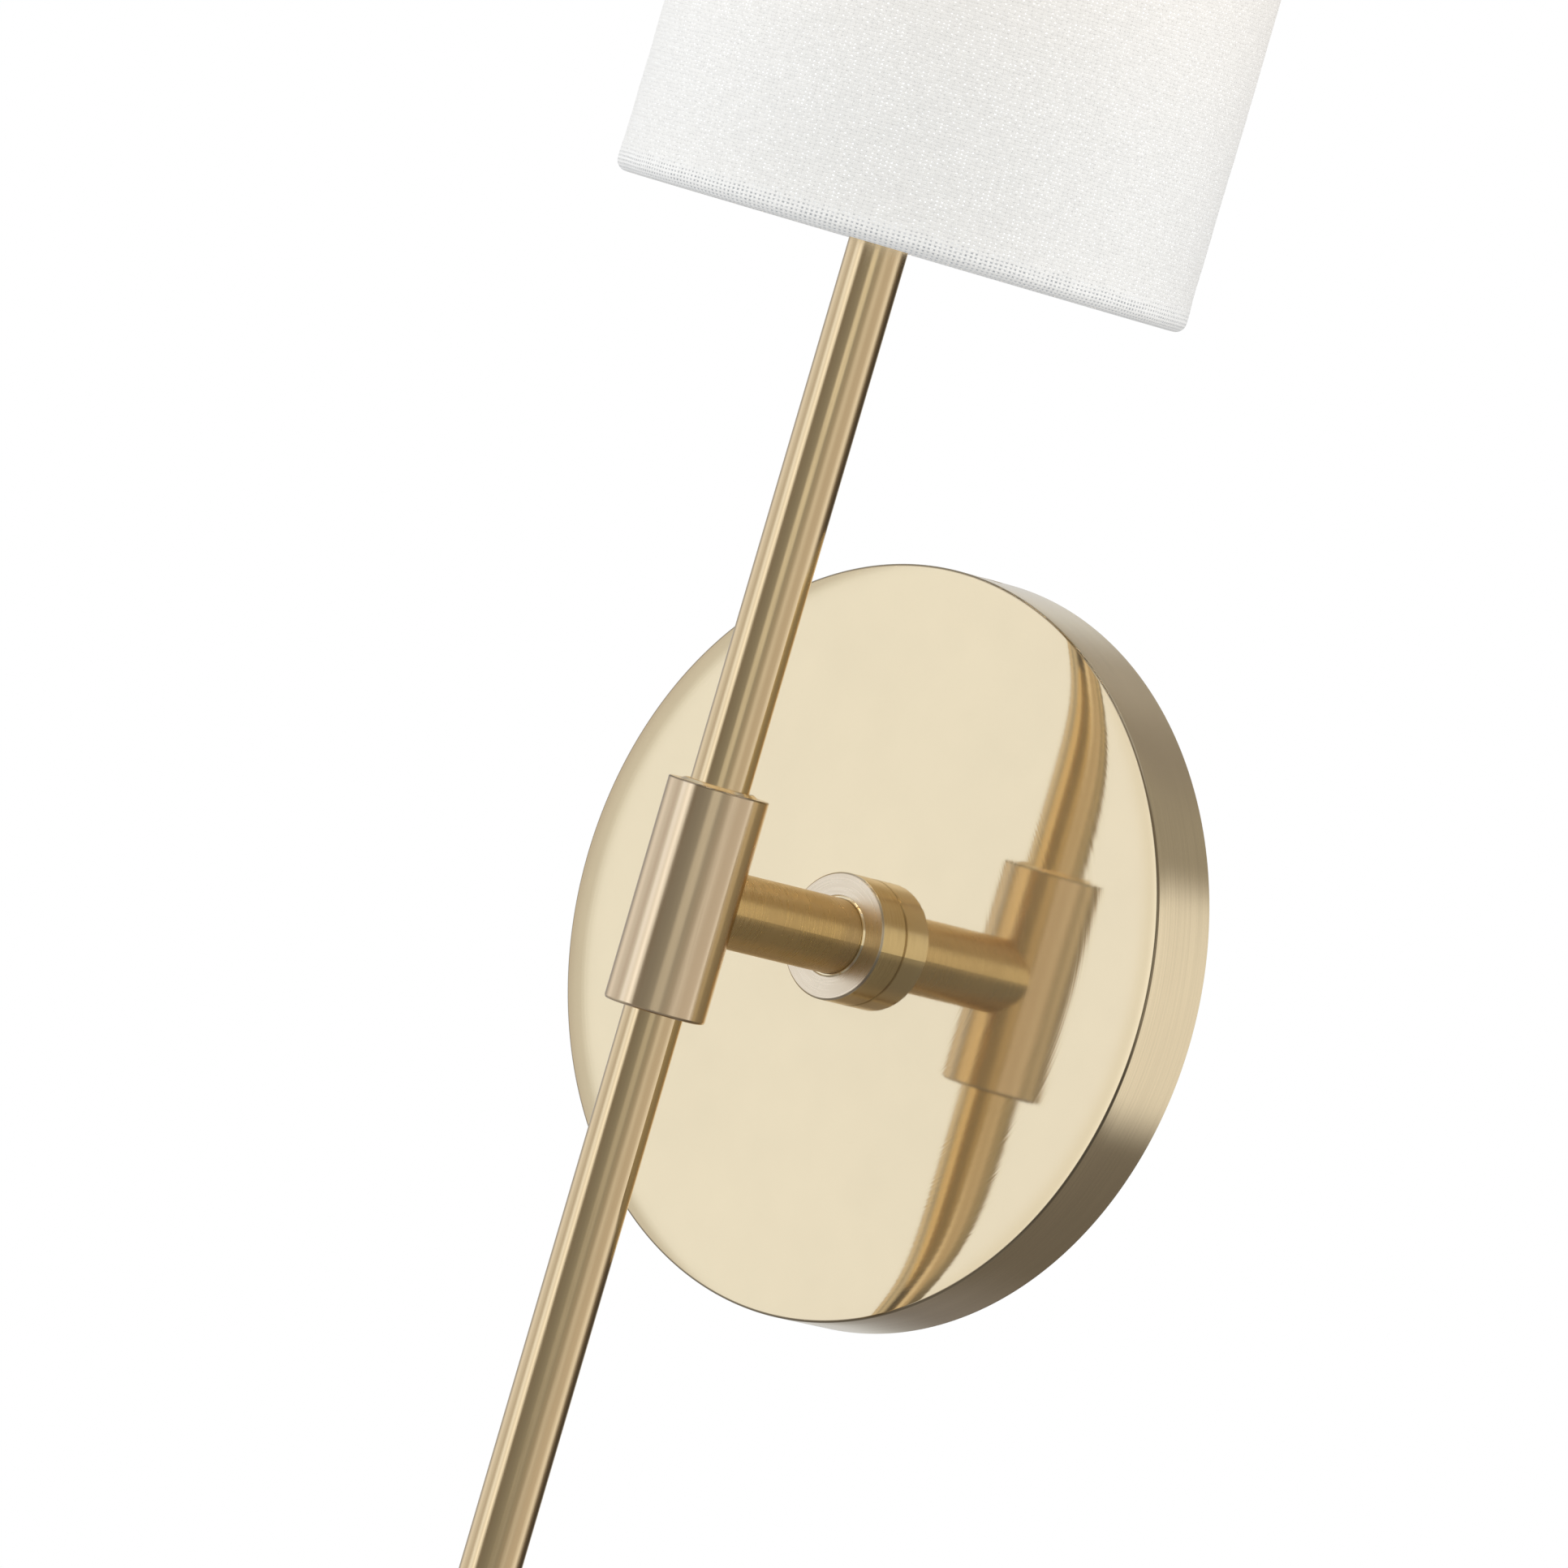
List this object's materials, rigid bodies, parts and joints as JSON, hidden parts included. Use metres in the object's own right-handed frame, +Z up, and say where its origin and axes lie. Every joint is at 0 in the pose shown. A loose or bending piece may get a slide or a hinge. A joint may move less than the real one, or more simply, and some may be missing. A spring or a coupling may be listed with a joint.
{
  "type": "swing arm wall sconce",
  "caption": "Slim brass wall sconce: round backplate, swivelling arm with a sleeve that holds a long sliding stem, and a white linen drum shade over a small-base lamp.",
  "frame": {"origin": "middle of the backplate's back, in the wall plane", "axes": "+Y into the wall, +Z up along the stem towards the shade, +X to the right seen from the front"},
  "size_m": [0.1206, 0.0953, 0.5191],
  "materials": {
    "polished_brass": "soft polished, lacquered, pale champagne gold",
    "satin_brass": "satin, fine brushing along the tube",
    "arm_brass": "satin, fine brushing round the tube",
    "raw_brass": "machined, unlacquered",
    "zinc_steel": "zinc plated",
    "nickel_shell": "nickel plated, rolled",
    "green_screw": "green dyed zinc",
    "nylon": "natural nylon, moulded",
    "phenolic": "black moulded phenolic",
    "lead_sheath": "smooth wire insulation",
    "linen": "white linen, open plain weave",
    "liner_film": "white styrene film, satin",
    "white_wire": "white powder coat",
    "bulb_glass": "clear glass",
    "black_glass": "black vitrified insulator",
    "filament_glow": "phosphor coated filament"
  },
  "bodies": {
    "wall_side": {"backplate": "polished_brass", "mounting_bracket": "zinc_steel", "ground_screw": "green_screw", "set_screws": "satin_brass", "nipple": "raw_brass", "lock_nut": "raw_brass", "lock_washer": "zinc_steel", "hub_base": "raw_brass", "stop_pin": "zinc_steel", "collar": "satin_brass", "bearing_ring": "polished_brass", "friction_washer": "nylon", "spring_washer": "zinc_steel"},
    "arm": {"arm_tube": "arm_brass", "sleeve": "satin_brass", "upper_end_ring": "polished_brass", "lower_end_ring": "satin_brass", "upper_bush": "nylon", "lower_bush": "nylon", "wire_ferrule": "nylon", "friction_screw": "zinc_steel", "arm_leads": "lead_sheath"},
    "guide": {"guide_bush": "nylon"},
    "stem": {"stem": "satin_brass", "stem_end_cap": "satin_brass", "socket_cup": "satin_brass", "stem_nut": "raw_brass", "lamp_holder": "phenolic", "screw_shell": "raw_brass", "centre_contact": "raw_brass", "shade_ring": "phenolic", "stem_leads": "lead_sheath", "shade_fabric": "linen", "shade_liner": "liner_film", "shade_frame": "white_wire", "top_ring": "white_wire", "bulb_glass": "bulb_glass", "bulb_base": "nickel_shell", "bulb_insulator": "black_glass", "bulb_contact": "nickel_shell", "filament_mount": "bulb_glass", "filament_wires": "zinc_steel", "filaments": "filament_glow"}
  },
  "joints": [
    {"name": "arm_swivel", "type": "hinge", "parent": "wall_side", "child": "arm", "pos_m": [0, -0.02, 0], "axis": [0, 1, 0], "range_deg": [-90, 90]},
    {"name": "stem_turn", "type": "hinge", "parent": "arm", "child": "guide", "pos_m": [0, -0.0545, 0], "axis": [0, 0, 1], "range_deg": [-90, 90]},
    {"name": "stem_slide", "type": "slide", "parent": "guide", "child": "stem", "axis": [0, 0, 1], "range_m": [-0.007, 0.007]}
  ]
}
